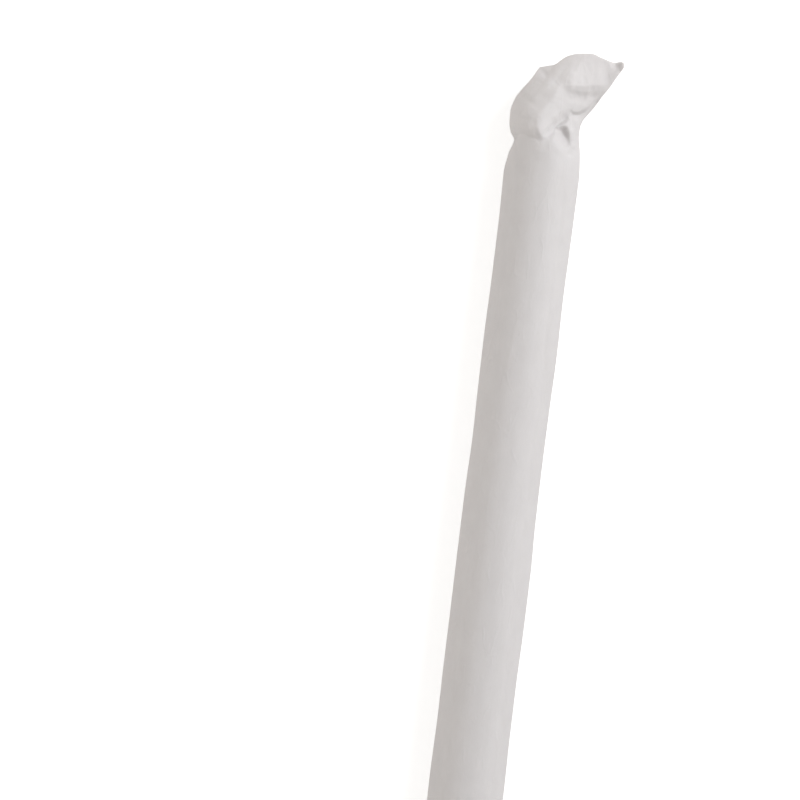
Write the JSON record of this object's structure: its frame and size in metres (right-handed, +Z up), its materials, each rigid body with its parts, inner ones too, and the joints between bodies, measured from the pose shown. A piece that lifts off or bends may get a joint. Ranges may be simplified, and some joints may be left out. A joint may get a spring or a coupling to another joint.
{
  "type": "wrapped drinking straw",
  "caption": "Wide paper drinking straw in a loose thin paper sleeve that is pressed flat at its bottom end and bent over, crumpled and pinched shut at its top end.",
  "frame": {"origin": "on the surface that the straw rests on, under the middle of the straw's length and under its axis", "axes": "+Y along the straw towards the crumpled top end; +Z up from the surface it rests on; +X to the right of someone who looks down on it with the crumpled end away from them"},
  "size_m": [0.0252, 0.2682, 0.0128],
  "materials": {
    "straw_paper": "matte",
    "wrapper_paper": "matte"
  },
  "bodies": {
    "root": {"paper_straw": "straw_paper", "paper_wrapper": "wrapper_paper"}
  },
  "joints": []
}
